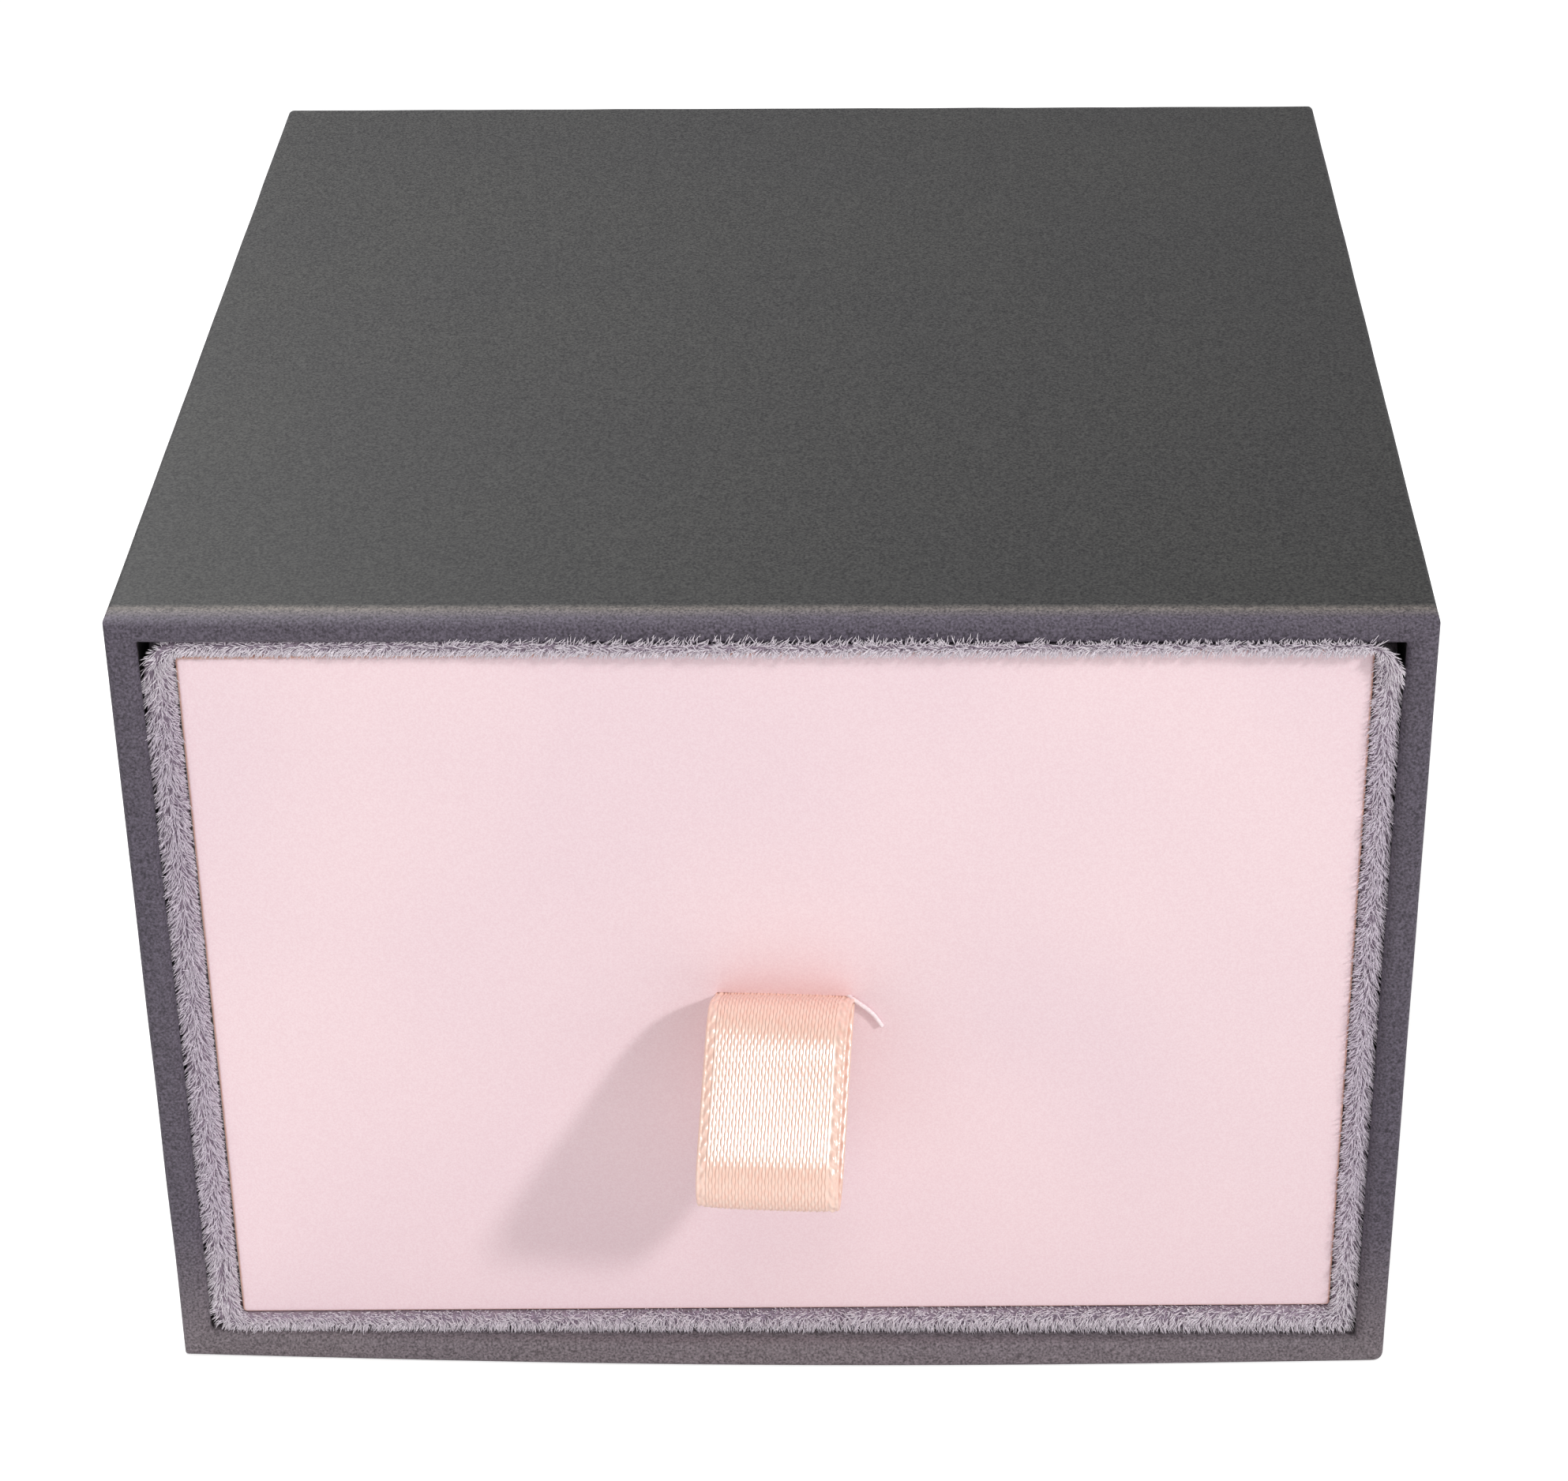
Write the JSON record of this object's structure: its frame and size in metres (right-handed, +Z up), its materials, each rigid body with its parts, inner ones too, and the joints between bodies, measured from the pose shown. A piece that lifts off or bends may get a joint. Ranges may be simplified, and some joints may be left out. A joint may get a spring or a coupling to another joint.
{
  "type": "jewellery box with drawer",
  "caption": "Small rigid box: a paper-wrapped board sleeve open at the front, with a plush-covered drawer that slides out by a satin ribbon loop.",
  "frame": {"origin": "centre of the underside, where the box rests", "axes": "+X to the right seen from the front, +Y from the front to the back, +Z up"},
  "size_m": [0.09, 0.1062, 0.063],
  "materials": {
    "wrap_paper": "matte",
    "lining_paper": "matte",
    "greyboard": "matte",
    "kraft_tape": "matte",
    "card": "matte",
    "plush": "matte",
    "panel_paper": "matte",
    "satin_ribbon": "satin",
    "foam": "matte"
  },
  "bodies": {
    "sleeve": {"sleeve_top_board": "greyboard", "sleeve_bottom_board": "greyboard", "sleeve_left_board": "greyboard", "sleeve_right_board": "greyboard", "sleeve_back_board": "greyboard", "sleeve_wrap": "wrap_paper", "sleeve_under_sheet": "wrap_paper", "sleeve_back_sheet": "wrap_paper", "sleeve_lining": "lining_paper", "sleeve_back_lining": "lining_paper", "sleeve_stay_lower_left": "kraft_tape", "sleeve_stay_upper_left": "kraft_tape", "sleeve_stay_lower_right": "kraft_tape", "sleeve_stay_upper_right": "kraft_tape"},
    "drawer": {"tray_front_board": "greyboard", "tray_back_board": "greyboard", "tray_left_board": "greyboard", "tray_right_board": "greyboard", "tray_bottom_board": "greyboard", "tray_stay_front_left": "kraft_tape", "tray_stay_back_left": "kraft_tape", "tray_stay_front_right": "kraft_tape", "tray_stay_back_right": "kraft_tape", "tray_plush_cover": "plush", "tray_plush_lining": "plush", "front_panel_card": "card", "front_panel_paper": "panel_paper", "ribbon_tail_upper": "satin_ribbon", "ribbon_tail_lower": "satin_ribbon", "pad_card": "card", "pad_foam_front": "foam", "pad_foam_back": "foam", "pad_cover": "plush"},
    "ribbon": {"ribbon_loop": "satin_ribbon"}
  },
  "joints": [
    {"name": "drawer_slide", "type": "slide", "parent": "sleeve", "child": "drawer", "axis": [0, -1, 0], "range_m": [0, 0.09]},
    {"name": "ribbon_flap", "type": "hinge", "parent": "drawer", "child": "ribbon", "pos_m": [0.0007, -0.0465, 0.0326], "axis": [1, 0, 0], "range_deg": [-50, 20], "stiffness_Nm_per_rad": 0.0003}
  ]
}
